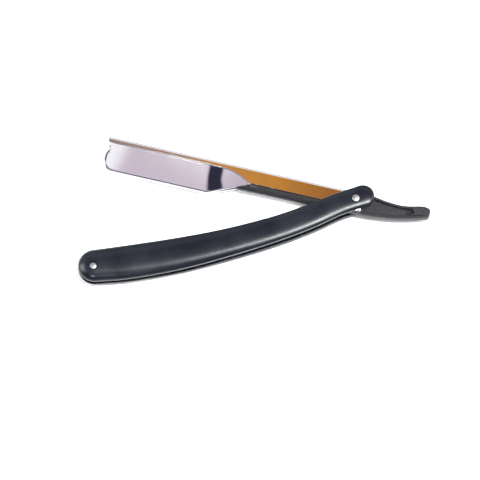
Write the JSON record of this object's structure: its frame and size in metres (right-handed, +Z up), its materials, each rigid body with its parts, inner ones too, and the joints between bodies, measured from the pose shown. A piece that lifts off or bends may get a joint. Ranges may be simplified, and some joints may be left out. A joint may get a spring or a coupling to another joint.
{
  "type": "straight razor",
  "caption": "Folding barber's razor with a polished folded-steel head for a half blade, a black plastic arm and tail, and a curved two-scale black plastic handle.",
  "frame": {"origin": "middle of the flat outer land of the lower scale, on which the razor lies", "axes": "+X from the butt pin to the pivot pin, +Y to the hollow side of the handle where the blade folds in, +Z up, out of the lying handle"},
  "size_m": [0.1723, 0.0818, 0.0114],
  "materials": {
    "scale_plastic": "satin-gloss moulded black plastic",
    "arm_plastic": "matt moulded black plastic with a grained grip panel",
    "polished_steel": "mirror-polished folded stainless sheet",
    "plate_steel": "bright rolled stainless strip",
    "rivet_metal": "tumbled light metal",
    "washer_brass": "plain rolled brass",
    "spacer_plastic": "plain black plastic"
  },
  "bodies": {
    "handle": {"upper_scale": "scale_plastic", "lower_scale": "scale_plastic", "butt_spacer": "spacer_plastic", "pivot_rivet": "rivet_metal", "pivot_burr": "rivet_metal", "butt_rivet": "rivet_metal", "butt_burr": "rivet_metal", "upper_pivot_washer": "washer_brass", "lower_pivot_washer": "washer_brass"},
    "arm": {"blade_arm": "arm_plastic", "seat_plate": "plate_steel", "seat_rivets": "plate_steel"},
    "cover": {"steel_cover": "polished_steel"}
  },
  "joints": [
    {"name": "blade_pivot", "type": "hinge", "parent": "handle", "child": "arm", "pos_m": [0.066, 0.0051, 0.0057], "axis": [0, 0, 1], "range_deg": [-270, 25]},
    {"name": "cover_swing", "type": "hinge", "parent": "arm", "child": "cover", "pos_m": [0.066, 0.0051, 0.0057], "axis": [0, 0, 1], "range_deg": [-20, 0]}
  ]
}
